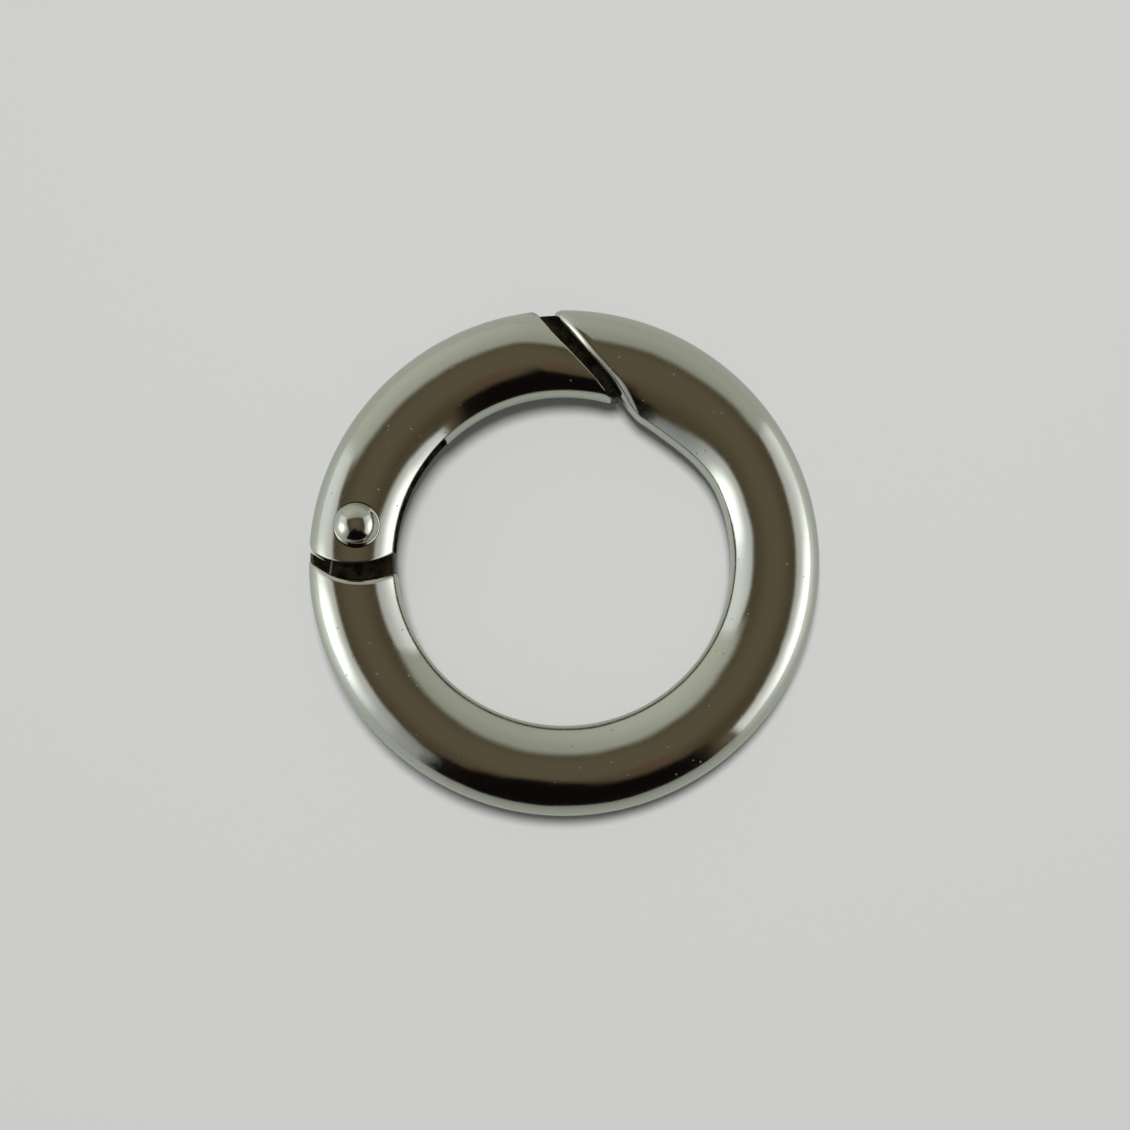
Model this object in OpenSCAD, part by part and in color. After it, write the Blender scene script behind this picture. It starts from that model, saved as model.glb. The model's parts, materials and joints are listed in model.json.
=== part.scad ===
// Spring gate ring: a die-cast C-shaped ring, closed by a gate that swings inward on a rivet.
// A torsion spring in the gate's slot holds the gate shut.
// Frame: the origin is the ring's centre, the ring lies in XY and +Z is its axis.
// The hinge is at the left (-X), the joint at the top (+Y), and the gate lies between them.

/* [Ring] */
// clear width across the ring
inner_diameter = 25; // [22:0.5:32]
// width of the ring's section, seen from above
section_width = 6.5; // [6.2:0.1:7.2]
// height of the ring's section
section_height = 5.0; // [4.7:0.1:5.6]
// radius of the section's inner and outer flanks
flank_radius = 2.0; // [1.7:0.05:2.1]
// how far the nose swells inward
swell = 0.58; // [0.3:0.02:0.8]
// direction of the swell, counted from +X
swell_position = 54; // [52:1:56]

/* [Joint between gate and nose] */
// direction in which the gate's end face crosses the middle of the section
joint_position = 89.7; // [86:0.1:94]
// slant of the joint, where 0 is a square cut
joint_slant = 44.3; // [40:0.1:48]
// gap between the gate's end face and the nose
joint_gap = 0.7; // [0.6:0.05:0.9]
// how far the tab reaches past the gate's end face
tab_reach = 1.28; // [1.1:0.02:1.4]
// thickness of the tab
tab_thickness = 2.2; // [1.6:0.1:2.6]
// clearance between the tab and its groove
tab_clearance = 0.15; // [0.1:0.01:0.25]
// how far the tab stays inside the ring's outer flank
tab_inset = 0.3; // [0.1:0.05:0.5]

/* [Hinge] */
// direction of the hinge, counted from +X
hinge_position = 171.9; // [168:0.1:176]
// how far the rivet sits inside the middle of the section
pivot_inset = 0.32; // [0.1:0.01:0.4]
// diameter of the rivet's shank
rivet_diameter = 1.8; // [1.5:0.1:2]
// diameter of the rivet's domed heads
head_diameter = 3.4; // [3:0.1:3.6]
// straight wall under each dome
head_wall = 0.25; // [0.1:0.05:0.4]
// radial play of the rivet in the tongue
tongue_play = 0.05; // [0.02:0.01:0.09]
// radial play of the rivet in the gate's ears
ear_play = 0.02; // [0.01:0.01:0.05]
// radius of the rounded end of the gate's ears
ear_radius = 5.13; // [4.8:0.01:5.5]
// how far the centre of that rounding lies from the hinge, along the ring
ear_back = 8; // [7:0.5:9]
// gap between the gate's ears and the recess they turn in
swing_gap = 0.2; // [0.15:0.01:0.3]
// room that the recess leaves beyond the section's flank
recess_margin = 0.48; // [0.4:0.01:0.6]

/* [Slot and tongue] */
// height of the slot in the gate
slot_height = 2.3; // [2.2:0.05:2.5]
// direction in which the slot ends
slot_end = 135; // [130:1:142]
// thickness of the gate's outer wall
wall_thickness = 1.1; // [0.9:0.05:1.2]
// play of the tongue in the slot, on each side
slot_play = 0.06; // [0.04:0.01:0.1]
// gap between the tongue's end and the gate's outer wall
tongue_gap = 0.15; // [0.1:0.01:0.25]
// gap between the tongue's shoulder and the end of the gate's wall
shoulder_gap = 0.3; // [0.2:0.05:0.5]

/* [Spring] */
// diameter of the spring's wire
wire_diameter = 0.36; // [0.3:0.01:0.36]
// radius of the coil, to the middle of the wire
coil_radius = 1.5; // [1.45:0.01:1.6]
// length of the leg that pushes on the gate
gate_leg = 5.1; // [4:0.1:5.1]
// length of the leg that is held by the ring
ring_leg = 4.7; // [4.5:0.1:5]

/* [Hidden] */

nickel = [0.76, 0.74, 0.68];
bright_nickel = [0.82, 0.8, 0.75];
spring_steel = [0.55, 0.53, 0.5];

$fn = 96;
reach = 40;
tall = 30;
coil_turns = 2;
wire_sides = 10;
steps_per_turn = 24;
layer_gap = 0.015;
seat_play = 0.03;

function polar(r, a) = [r * cos(a), r * sin(a)];

// the section is an oval of four arcs: a crown above and below, a flank at each side
half_width = section_width / 2;
half_height = section_height / 2;
mean_radius = inner_diameter / 2 + half_width;
inner_radius = inner_diameter / 2;
outer_radius = inner_radius + section_width;
flank_offset = half_width - flank_radius;
crown_radius = (flank_offset ^ 2 + half_height ^ 2 - flank_radius ^ 2) / (2 * (half_height - flank_radius));
crown_drop = crown_radius - half_height;
crown_reach = flank_offset * crown_radius / (crown_radius - flank_radius);

// the hinge
pivot = polar(mean_radius - pivot_inset, hinge_position);
head_radius = head_diameter / 2;
recess_radius = half_width + pivot_inset + recess_margin;
ear_centre = polar(mean_radius + 0.45, hinge_position - ear_back);
wall_radius = outer_radius - wall_thickness;
tongue_radius = wall_radius - tongue_gap - norm(pivot);
neck_half = tongue_radius - 0.04;
tongue_half = slot_height / 2 - slot_play;
seat_reach = pivot_inset + head_radius;
seat_height = sqrt(crown_radius ^ 2 - seat_reach ^ 2) - crown_drop - 0.02;

// the joint: both faces are upright planes, and the tab and its groove are arcs about the hinge
face_direction = joint_position - 90 + joint_slant;
face_offset = mean_radius * cos(joint_position - face_direction);
nose_offset = face_offset + joint_gap;
pivot_offset = pivot * polar(1, face_direction);
tab_radius = face_offset - pivot_offset + tab_reach;
groove_radius = tab_radius + tab_clearance;

// the spring: its coil lies between the tongue's thin end and the gate's upper ear
wire_radius = wire_diameter / 2;
layer = wire_diameter + layer_gap;
ring_leg_z = slot_height / 2 - 0.04 - wire_radius;
gate_leg_z = ring_leg_z - coil_turns * layer;
thin_top = gate_leg_z - wire_radius - 0.03;
pocket_radius = coil_radius + wire_radius + 0.27;
notch_width = wire_diameter + 0.14;

// upright prism between two heights
module upright(from = -tall / 2, to = tall / 2) {
    translate([0, 0, from])
        linear_extrude(to - from)
            children();
}

module at_pivot() {
    translate([pivot[0], pivot[1], 0])
        children();
}

// sector of the plane between two directions
module sector(from, to) {
    middle = (from + to) / 2;
    polygon([[0, 0], polar(reach, from), polar(reach, middle), polar(reach, to)]);
}

// everything on the gate's side of a joint face
module before_face(offset) {
    rotate(face_direction)
        translate([offset - 2 * reach, -reach])
            square(2 * reach);
}

module band(inner, outer) {
    difference() {
        circle(outer);
        circle(inner);
    }
}

// the oval section, centred on its own middle
module oval() {
    intersection() {
        translate([0, -crown_drop]) circle(crown_radius);
        translate([0, crown_drop]) circle(crown_radius);
        square([2 * crown_reach, 2 * section_height], center = true);
    }
    for (side = [-1, 1])
        translate([side * flank_offset, 0])
            circle(flank_radius);
}

module ring_bar() {
    rotate_extrude()
        translate([mean_radius, 0])
            oval();
}

// a straight run of the same section: its inner flank is the chord that swells into the ring
module swell_bar() {
    chord = inner_radius - swell;
    run = sqrt(inner_radius ^ 2 - chord ^ 2) + 0.55;
    rotate(swell_position)
        translate([chord + half_width, 0, 0])
            rotate([90, 0, 0])
                linear_extrude(2 * run, center = true)
                    scale((half_height - 0.02) / half_height)
                        oval();
}

// opening that the gate fills, seen from above: the nose's face, then the arc that the tip swings through
module gate_window() {
    intersection() {
        sector(60, hinge_position);
        before_face(nose_offset);
        translate(pivot) circle(groove_radius);
    }
    translate(pivot) circle(recess_radius);
}

// what stays of the ring inside the recess: shoulder, neck and rounded end
module tongue_plan() {
    translate(pivot) circle(tongue_radius);
    intersection() {
        band(norm(pivot) - neck_half, norm(pivot) + neck_half);
        sector(hinge_position, hinge_position + 30);
    }
    shoulder_plan();
}

module shoulder_plan() {
    difference() {
        sector(hinge_position + 2, hinge_position + 30);
        translate(ear_centre) circle(ear_radius + shoulder_gap);
    }
    intersection() {
        sector(hinge_position + 6.5, hinge_position + 30);
        circle(mean_radius);
    }
}

// the part of the tongue that keeps its full height, clear of the coil
module thick_plan() {
    difference() {
        intersection() {
            tongue_plan();
            sector(hinge_position + 5, hinge_position + 30);
        }
        translate(pivot) circle(pocket_radius);
    }
}

module spring_notch() {
    at_pivot()
        rotate(hinge_position)
            translate([coil_radius - notch_width / 2, 0.6, ring_leg_z - wire_radius - 0.05])
                cube([notch_width, ring_leg - 0.4, wire_diameter + 0.1]);
}

module ring_body() {
    color(nickel)
    difference() {
        union() {
            ring_bar();
            swell_bar();
        }
        upright(-tall / 2, -tongue_half) gate_window();
        upright(-tongue_half, thin_top)
            difference() {
                gate_window();
                tongue_plan();
            }
        upright(thin_top, tongue_half)
            difference() {
                gate_window();
                thick_plan();
            }
        upright(tongue_half, tall / 2) gate_window();
        upright(-tab_thickness / 2 - tab_clearance, tab_thickness / 2 + tab_clearance)
            intersection() {
                translate(pivot) circle(groove_radius);
                sector(60, joint_position + 15);
            }
        at_pivot()
            cylinder(r = rivet_diameter / 2 + tongue_play, h = tall, center = true);
        spring_notch();
    }
}

// the gate seen from above: its rounded ears turn inside the recess
module gate_plan() {
    intersection() {
        union() {
            sector(60, hinge_position);
            intersection() {
                sector(hinge_position - 1, hinge_position + 30);
                translate(ear_centre) circle(ear_radius);
                translate(pivot) circle(recess_radius - swing_gap);
            }
        }
        before_face(face_offset);
    }
}

module tab_plan() {
    intersection() {
        translate(pivot) circle(tab_radius);
        band(inner_radius + 0.1, outer_radius - tab_inset);
        sector(60, joint_position + 12);
    }
}

module gate() {
    color(nickel)
    difference() {
        intersection() {
            ring_bar();
            union() {
                upright() gate_plan();
                upright(-tab_thickness / 2, tab_thickness / 2) tab_plan();
            }
        }
        upright(-slot_height / 2, slot_height / 2)
            intersection() {
                circle(wall_radius);
                sector(slot_end, hinge_position + 30);
            }
        at_pivot() {
            cylinder(r = rivet_diameter / 2 + ear_play, h = tall, center = true);
            for (up = [0, 1])
                mirror([0, 0, up])
                    translate([0, 0, seat_height])
                        cylinder(r = head_radius + seat_play, h = tall / 2);
        }
    }
}

module hinge_rivet() {
    color(bright_nickel)
    at_pivot() {
        cylinder(d = rivet_diameter, h = 2 * seat_height + 0.1, center = true);
        for (up = [0, 1])
            mirror([0, 0, up])
                translate([0, 0, seat_height]) {
                    cylinder(r = head_radius, h = head_wall);
                    intersection() {
                        translate([0, 0, head_wall]) sphere(head_radius);
                        cylinder(r = 2 * head_radius, h = 2 * head_radius);
                    }
                }
    }
}

// middle line of the wire, seen from the rivet: gate leg, coil, ring leg
coil_steps = coil_turns * steps_per_turn;
wire_path = concat(
    [for (i = [0:2]) [coil_radius, -gate_leg * (3 - i) / 3, gate_leg_z]],
    [for (i = [0:coil_steps])
        let (turn = i / steps_per_turn)
        [coil_radius * cos(360 * turn), coil_radius * sin(360 * turn), gate_leg_z + layer * turn]],
    [for (i = [1:3]) [coil_radius, ring_leg * i / 3, ring_leg_z]]
);

// ring of points around the wire at one point of its middle line
function wire_ring(path, i) =
    let (
        last = len(path) - 1,
        ahead = path[min(i + 1, last)] - path[max(i - 1, 0)],
        along = ahead / norm(ahead),
        side = cross(along, [0, 0, 1]) / norm(cross(along, [0, 0, 1])),
        up = cross(side, along)
    )
    [for (j = [0:wire_sides - 1])
        path[i] + wire_radius * (cos(360 * j / wire_sides) * side + sin(360 * j / wire_sides) * up)];

module wire(path) {
    n = len(path);
    m = wire_sides;
    polyhedron(
        points = [for (i = [0:n - 1]) each wire_ring(path, i)],
        faces = concat(
            [[for (j = [0:m - 1]) j]],
            [for (i = [0:n - 2], j = [0:m - 1])
                [i * m + j, (i + 1) * m + j, (i + 1) * m + (j + 1) % m, i * m + (j + 1) % m]],
            [[for (j = [0:m - 1]) n * m - 1 - j]]
        )
    );
}

module gate_spring() {
    color(spring_steel)
    at_pivot()
        rotate(hinge_position)
            wire(wire_path);
}

ring_body();
gate();
hinge_rivet();
gate_spring();
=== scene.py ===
# %% [markdown]
# # Spring gate ring
# The object is a die-cast ring with a sprung gate: a C-shaped casting, a gate that swings inward
# on a domed rivet, and a wound wire spring that hides in the gate's slot. The imported CAD part is
# loaded first. It is the fixed frame that every piece below is fitted to.

# %% Load the imported part
import json
import math
from functools import partial

import bmesh
import bpy
import numpy as np
from mathutils import Matrix, Vector
from mathutils.bvhtree import BVHTree


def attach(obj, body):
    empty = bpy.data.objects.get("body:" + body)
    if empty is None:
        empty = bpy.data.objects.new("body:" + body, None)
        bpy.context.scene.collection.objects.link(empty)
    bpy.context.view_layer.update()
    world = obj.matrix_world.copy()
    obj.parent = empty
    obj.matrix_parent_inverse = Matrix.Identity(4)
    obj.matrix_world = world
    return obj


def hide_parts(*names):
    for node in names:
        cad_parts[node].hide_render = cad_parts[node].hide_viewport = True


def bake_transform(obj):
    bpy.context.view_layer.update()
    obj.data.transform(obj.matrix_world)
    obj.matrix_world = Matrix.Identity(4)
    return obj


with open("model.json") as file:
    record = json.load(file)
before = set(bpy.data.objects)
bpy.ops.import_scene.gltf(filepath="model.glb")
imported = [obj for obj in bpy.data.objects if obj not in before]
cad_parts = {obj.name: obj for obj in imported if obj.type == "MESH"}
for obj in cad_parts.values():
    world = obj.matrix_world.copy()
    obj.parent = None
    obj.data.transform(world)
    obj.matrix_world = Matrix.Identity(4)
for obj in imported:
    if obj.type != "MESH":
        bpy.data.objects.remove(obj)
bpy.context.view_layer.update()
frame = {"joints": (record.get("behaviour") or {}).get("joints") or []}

# %% [markdown]
# ## Sizes
# Everything is worked out in millimetres, because solid operations on a part this small keep
# more digits that way. A finished mesh is brought to metres in its last step. The hinge comes
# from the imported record, so the pieces meet the joint that the simulation turns. A place on the
# ring is given by its distance from the ring's axis and by its turn, in degrees from +X.

# %% The ring's own sizes
MM = 0.001
MEAN_RADIUS = 15.75
SECTION_WIDTH, SECTION_HEIGHT = 6.5, 5.0
INNER_REACH, INNER_CORNER = 3.3, 0.8
PIVOT = np.array(frame["joints"][0]["pos_m"][:2]) / MM
PIVOT_RADIUS = math.hypot(*PIVOT)
HINGE_TURN = math.degrees(math.atan2(PIVOT[1], PIVOT[0]))
print("hinge at", PIVOT.round(3), "turned", round(HINGE_TURN, 2), "degrees")


def polar(radius, turn):
    return np.array([radius * math.cos(math.radians(turn)), radius * math.sin(math.radians(turn))])


# %% [markdown]
# ## The bar's section
# Ring and gate are one bar. Its outer half is an oval; its inner half is squarer, with a short
# upright flank, a small corner and a flat crown. A drawn outline could be smoothed, but a polished
# surface shows its normals more than its places. So both halves are written by the direction of
# their normal: how fast the section bends at each direction, added up.

# %% Outer quarter of the section
SUPPORT_MEAN = (SECTION_WIDTH + SECTION_HEIGHT) / 4
SUPPORT_SWING = (SECTION_WIDTH - SECTION_HEIGHT) / 4
OUTER_STEPS = 36


def smooth(t):
    """Rises from 0 to 1 with a level start and end."""
    t = np.clip(t, 0, 1)
    return t * t * (3 - 2 * t)


def outer_quarter():
    """Directions of the normal and the places that have them, from the flank up to the crown."""
    t = np.linspace(0, math.pi / 2, OUTER_STEPS + 1)
    support = SUPPORT_MEAN + SUPPORT_SWING * np.cos(2 * t)
    slope = 2 * SUPPORT_SWING * np.sin(2 * t)
    return t, support * np.cos(t) + slope * np.sin(t), support * np.sin(t) - slope * np.cos(t)


# %% Inner quarter of the section
CORNER_LEAN, CORNER_FADE = 36, 18
LEAN_SAMPLES = 2001
CROWN_STEPS, CORNER_STEPS, FLANK_STEPS = 16, 16, 4


def add_up(rate, lean):
    return np.concatenate([[0], np.cumsum((rate[1:] + rate[:-1]) / 2 * np.diff(lean))])


def inner_quarter():
    """The same from the crown over the corner and down the upright flank."""
    lean = np.linspace(0, math.pi / 2, LEAN_SAMPLES)
    crown = smooth((np.degrees(lean) - CORNER_LEAN) / CORNER_FADE)
    corner_reach = add_up((1 - crown) * np.sin(lean), lean)[-1]
    crown_reach = add_up(crown * np.sin(lean), lean)[-1]
    crown_radius = (INNER_REACH - INNER_CORNER * corner_reach) / crown_reach
    bend = INNER_CORNER * (1 - crown) + crown_radius * crown
    side = add_up(bend * np.sin(lean), lean) - INNER_REACH
    up = add_up(bend * np.cos(lean), lean)
    flank = SECTION_HEIGHT / 2 - up[-1]
    print("inner crown radius", round(crown_radius, 2), "mm, flank", round(2 * flank, 2), "mm high")
    over_crown = np.linspace(90, 45, CROWN_STEPS + 1)[1:]
    round_corner = np.linspace(45, 0, CORNER_STEPS + 1)[1:]
    wanted = np.radians(np.concatenate([over_crown, round_corner]))
    level = flank * (1 - np.arange(1, FLANK_STEPS + 1) / FLANK_STEPS)
    around = np.concatenate([math.pi - wanted, math.pi + 0 * level])
    sides = np.concatenate([np.interp(wanted, lean, side), -INNER_REACH + 0 * level])
    return around, sides, np.concatenate([np.interp(wanted, lean, up + flank), level])


# %% The whole outline, from the outer flank over the crown to the inner flank and back below
def section_outline():
    around, side, up = [np.concatenate(pair) for pair in zip(outer_quarter(), inner_quarter())]
    back = slice(-2, 0, -1)
    around = np.concatenate([around, 2 * math.pi - around[back]])
    side = np.concatenate([side, side[back]])
    return around, side, np.concatenate([up, -up[back]])


AROUND, SIDE, UP = section_outline()
print("section of", len(AROUND), "points, side", SIDE.min().round(3), "to", SIDE.max().round(3),
      "and up to", UP.max().round(3))

# %% [markdown]
# ## Rolling the bar up
# The bar is laid out first as a sheet of points: how far each one is turned along the ring, its
# place on the section and the direction of its normal there, how deep it lies under the skin, and
# how far it is pushed outwards. A Geometry Nodes tree rolls that sheet into the ring. A profile
# carried along a curve would be simpler, but its rows stay square to the curve, and the ends of
# this bar are slanted.

# %% Helpers for Geometry Nodes trees
def wire_up(tree, operation, *values):
    node = tree.nodes.new("ShaderNodeMath")
    node.operation = operation
    for socket, value in zip(node.inputs, values):
        if isinstance(value, (int, float)):
            socket.default_value = value
        else:
            tree.links.new(value, socket)
    return node.outputs[0]


def named_value(tree, name):
    node = tree.nodes.new("GeometryNodeInputNamedAttribute")
    node.data_type = "FLOAT"
    node.inputs["Name"].default_value = name
    return next(o for o in node.outputs if o.enabled and o.name == "Attribute")


def add_inputs(tree, sizes):
    tree.interface.new_socket("Geometry", in_out="INPUT", socket_type="NodeSocketGeometry")
    for name, value in sizes.items():
        kind = "NodeSocketInt" if isinstance(value, int) else "NodeSocketFloat"
        tree.interface.new_socket(name, in_out="INPUT", socket_type=kind).default_value = value
    tree.interface.new_socket("Finish", in_out="INPUT", socket_type="NodeSocketMaterial")
    tree.interface.new_socket("Geometry", in_out="OUTPUT", socket_type="NodeSocketGeometry")
    return tree.nodes.new("NodeGroupInput"), tree.nodes.new("NodeGroupOutput")


def end_tree(tree, geometry, given, out):
    realize = tree.nodes.new("GeometryNodeRealizeInstances")
    finish = tree.nodes.new("GeometryNodeSetMaterial")
    tree.links.new(geometry, realize.inputs[0])
    tree.links.new(realize.outputs[0], finish.inputs["Geometry"])
    tree.links.new(given.outputs["Finish"], finish.inputs["Material"])
    tree.links.new(finish.outputs[0], out.inputs[0])


# %% Geometry Nodes tree that rolls a sheet into the ring
def roll_tree():
    tree = bpy.data.node_groups.new("roll_into_ring", "GeometryNodeTree")
    given, out = add_inputs(tree, {"Mean Radius": MEAN_RADIUS})
    do = partial(wire_up, tree)
    around, inset = named_value(tree, "around"), named_value(tree, "inset")
    side = do("SUBTRACT", named_value(tree, "side"), do("MULTIPLY", inset, do("COSINE", around)))
    up = do("SUBTRACT", named_value(tree, "up"), do("MULTIPLY", inset, do("SINE", around)))
    reach = do("ADD", do("ADD", given.outputs["Mean Radius"], side), named_value(tree, "push"))
    level = do("MULTIPLY", up, named_value(tree, "level"))
    turn = do("RADIANS", named_value(tree, "turn"))
    place = tree.nodes.new("ShaderNodeCombineXYZ")
    tree.links.new(do("MULTIPLY", reach, do("COSINE", turn)), place.inputs[0])
    tree.links.new(do("MULTIPLY", reach, do("SINE", turn)), place.inputs[1])
    tree.links.new(level, place.inputs[2])
    move = tree.nodes.new("GeometryNodeSetPosition")
    tree.links.new(given.outputs["Geometry"], move.inputs["Geometry"])
    tree.links.new(place.outputs[0], move.inputs["Position"])
    end_tree(tree, move.outputs[0], given, out)
    return tree


ROLL = roll_tree()
print("tree", ROLL.name, "has", len(ROLL.nodes), "nodes")


# %% Helpers that run a modifier once and keep plain mesh
def new_object(name, mesh):
    made = bpy.data.objects.new(name, mesh)
    bpy.context.scene.collection.objects.link(made)
    return made


def drop(obj):
    bpy.data.objects.remove(obj)


def run_modifier(obj):
    graph = bpy.context.evaluated_depsgraph_get()
    evaluated = obj.evaluated_get(graph)
    mesh = bpy.data.meshes.new_from_object(evaluated, preserve_all_data_layers=True, depsgraph=graph)
    obj.modifiers.clear()
    obj.data = mesh
    return obj


def apply_tree(obj, tree, finish):
    modifier = obj.modifiers.new("tree", "NODES")
    modifier.node_group = tree
    for item in tree.interface.items_tree:
        if item.name == "Finish":
            modifier[item.identifier] = finish
    return run_modifier(obj)


# %% [markdown]
# ## Where the bar is cut
# Seen from above, every cut is a line or an arc: the joint's faces are nearly flat, and the recess
# and the ears turn about the rivet. Cutting a whole ring with solids would leave sharp edges that
# need rounding afterwards. For a line of the bar at one distance from the ring's axis, each cut is
# simply one direction, so the bar can end there with a rounded edge of its own.

# %% Directions in which a line of the bar meets a circle or a flat face
FACE_TURN = 44.0


def on_circle(radius, centre, reach, side):
    distance = math.hypot(*centre)
    cosine = (radius**2 + distance**2 - reach**2) / (2 * radius * distance)
    middle = math.degrees(math.atan2(centre[1], centre[0]))
    return middle + side * np.degrees(np.arccos(np.clip(cosine, -1, 1)))


def on_face(radius, offset):
    return FACE_TURN + np.degrees(np.arccos(np.clip(offset / radius, -1, 1)))


def bent(radius, face, depth, start, length):
    """The offset of a joint face that bends a little towards the nose on its way out."""
    return face + depth * smooth((radius - start) / length)


def softer(a, b, blend):
    """The larger of a and b, rounded off where they are about equal."""
    return 0.5 * (a + b + np.sqrt((a - b) ** 2 + blend**2))


# %% The four cuts
GATE_FACE, NOSE_FACE = 11.1, 11.88
GROOVE_RADIUS, NOSE_BLEND = 21.909, 0.35
EAR_CLEAR, EAR_RADIUS, EAR_BLEND = 3.85, 5.13, 0.6
EAR_DISTANCE, EAR_BACK = 16.2, 8
EAR_CENTRE = polar(EAR_DISTANCE, HINGE_TURN - EAR_BACK)
RECESS_RADIUS, RECESS_SHIFT = 4.75, 0.8
RECESS_CENTRE = PIVOT + polar(RECESS_SHIFT, HINGE_TURN - 90)


def gate_face_cut(radius):
    return on_face(radius, bent(radius, GATE_FACE, depth=0.3, start=16.2, length=2.4))


def ear_cut(radius):
    round_end = on_circle(radius, EAR_CENTRE, EAR_RADIUS, 1)
    swing = on_circle(radius, PIVOT, EAR_CLEAR, 1)
    return -softer(-round_end, -swing, EAR_BLEND)


def recess_cut(radius):
    return on_circle(radius, RECESS_CENTRE, RECESS_RADIUS, 1)


def nose_cut(radius):
    face = on_face(radius, bent(radius, NOSE_FACE, depth=0.25, start=15.2, length=3))
    return 360 + softer(face, on_circle(radius, PIVOT, GROOVE_RADIUS, -1), NOSE_BLEND)


print("at the mean radius, the ring runs from", recess_cut(MEAN_RADIUS).round(1), "to",
      nose_cut(MEAN_RADIUS).round(1), "degrees")

# %% The swelling behind the nose
SWELL, SWELL_TURN = 0.58, 413
SWELL_BEFORE, SWELL_AFTER = 30, 38


def no_push(turn, x):
    return 0 * turn * x


def ring_push(turn, x):
    """The ring's inner side swells behind the nose."""
    inner = np.where(x < 0, (x / INNER_REACH) ** 2, 0)
    d = turn - SWELL_TURN
    return -SWELL * inner * (1 - smooth(np.where(d < 0, -d / SWELL_BEFORE, d / SWELL_AFTER)))


# %% [markdown]
# ## A bar with rounded ends
# Each line of the bar runs from one cut to the other. Near a cut it leaves the skin on a small
# quarter circle: as it nears the cut it also sinks, so the edge is rounded all the way round,
# whatever its slant. Use and polishing have also changed the last millimetres of the crown: the
# gate's sinks towards its face and the nose's rises, both on a parabola. The end face is closed
# by upright columns from the upper edge to the lower one. The normals follow from the same rule.

# %% What an end of a bar is
CROWN_FROM, CROWN_FADE = 0.5, 1.4
CROWN = smooth((np.abs(UP) - CROWN_FROM) / CROWN_FADE)


def bar_end(cut, rim, depth=0.0, length=1.0, fade=20.0, share=CROWN):
    """An end: its cut, its edge radius on each line, how deep and over what length the skin sinks
    (less than nothing where it rises), over how many degrees the rows straighten, and which share
    of the depth each line of the section gets."""
    return {"cut": cut, "rim": rim, "depth": depth, "length": length, "fade": fade, "share": share}


def even_rim(size):
    return lambda x: size + 0 * x


def changing_rim(places, sizes):
    return lambda x: np.interp(x, places, sizes)


# %% How far the skin has sunk at a distance from the cut
def closeness(distance, end):
    return np.clip(1 - distance / end["length"], 0, 1)


def worn(distance, end):
    return end["share"] * end["depth"] * closeness(distance, end) ** 2


def worn_slope(distance, end):
    return end["share"] * -2 * end["depth"] / end["length"] * closeness(distance, end)


# %% Where a line meets a cut, and which way the cut faces there
MEETING_ROUNDS = 40
TINY = 1e-4


def meeting(cut, inset, push):
    x = SIDE - inset * np.cos(AROUND)
    turn = cut(MEAN_RADIUS + x)
    for _ in range(MEETING_ROUNDS):
        turn = 0.5 * turn + 0.5 * cut(MEAN_RADIUS + x + push(turn, x))
    return turn


def unit(v):
    return v / np.linalg.norm(v, axis=-1, keepdims=True)


def onward(turn):
    """The direction along the bar."""
    a = np.radians(turn)
    return np.stack([-np.sin(a), np.cos(a), 0 * a], -1)


def cut_edge(cut, radius):
    a = np.radians(cut(radius))
    return np.stack([radius * np.cos(a), radius * np.sin(a)], -1)


def face_normal(cut, radius, outward):
    d = cut_edge(cut, radius + TINY) - cut_edge(cut, radius - TINY)
    n = unit(np.stack([-d[..., 1], d[..., 0], 0 * d[..., 0]], -1))
    forward = onward(cut(radius)) * outward
    return n * np.sign((n * forward).sum(-1, keepdims=True))


def straightness(cut):
    """How much of a step along the bar leads straight away from the cut."""
    radius = MEAN_RADIUS + SIDE
    return np.abs((face_normal(cut, radius, 1) * onward(cut(radius))).sum(-1))


# %% Where the rows of a bar lie
FAR = 1000 + 0 * SIDE


def end_rows(end, sign, push, angles):
    """Rows of the quarter circle: turn, inset, distance from the cut, and angle on the circle."""
    soft, straight, rows = end["rim"](SIDE), straightness(end["cut"]), []
    for angle in angles:
        back = soft * (1 - math.sin(angle))
        inset = soft * (1 - math.cos(angle)) + worn(back * straight, end)
        radius = MEAN_RADIUS + SIDE - inset * np.cos(AROUND)
        turn = meeting(end["cut"], inset, push) + sign * np.degrees(back / radius)
        rows.append((turn, inset, back * straight, angle))
    return rows


def bar_rows(first, last, push, steps, arcs):
    """All rows: turn, inset, distance after the first cut and before the last one, angle on an
    edge's circle, and whether that edge is the first one (1), the last one (2) or none (0)."""
    angles = np.linspace(0, math.pi / 2, arcs)
    start, end = end_rows(first, 1, push, angles[::-1]), end_rows(last, -1, push, angles)
    begin, stop = start[-1][0], end[0][0]
    low, high = begin.mean(), stop.mean()
    first_cut, last_cut = meeting(first["cut"], 0 * SIDE, push), meeting(last["cut"], 0 * SIDE, push)
    first_straight, last_straight = straightness(first["cut"]), straightness(last["cut"])
    rows = [(turn, inset, back, FAR, angle, 1) for turn, inset, back, angle in start]
    for t in np.linspace(0, 1, steps)[1:-1]:
        run, left = t * (high - low), (1 - t) * (high - low)
        first_slant = (begin - low) * (1 - smooth(run / first["fade"]))
        last_slant = (stop - high) * (1 - smooth(left / last["fade"]))
        turn = low + run + first_slant + last_slant
        after = np.radians(turn - first_cut) * (MEAN_RADIUS + SIDE) * first_straight
        before = np.radians(last_cut - turn) * (MEAN_RADIUS + SIDE) * last_straight
        rows.append((turn, worn(after, first) + worn(before, last), after, before, 0.0, 0))
    return rows + [(turn, inset, FAR, back, angle, 2) for turn, inset, back, angle in end]


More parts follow.
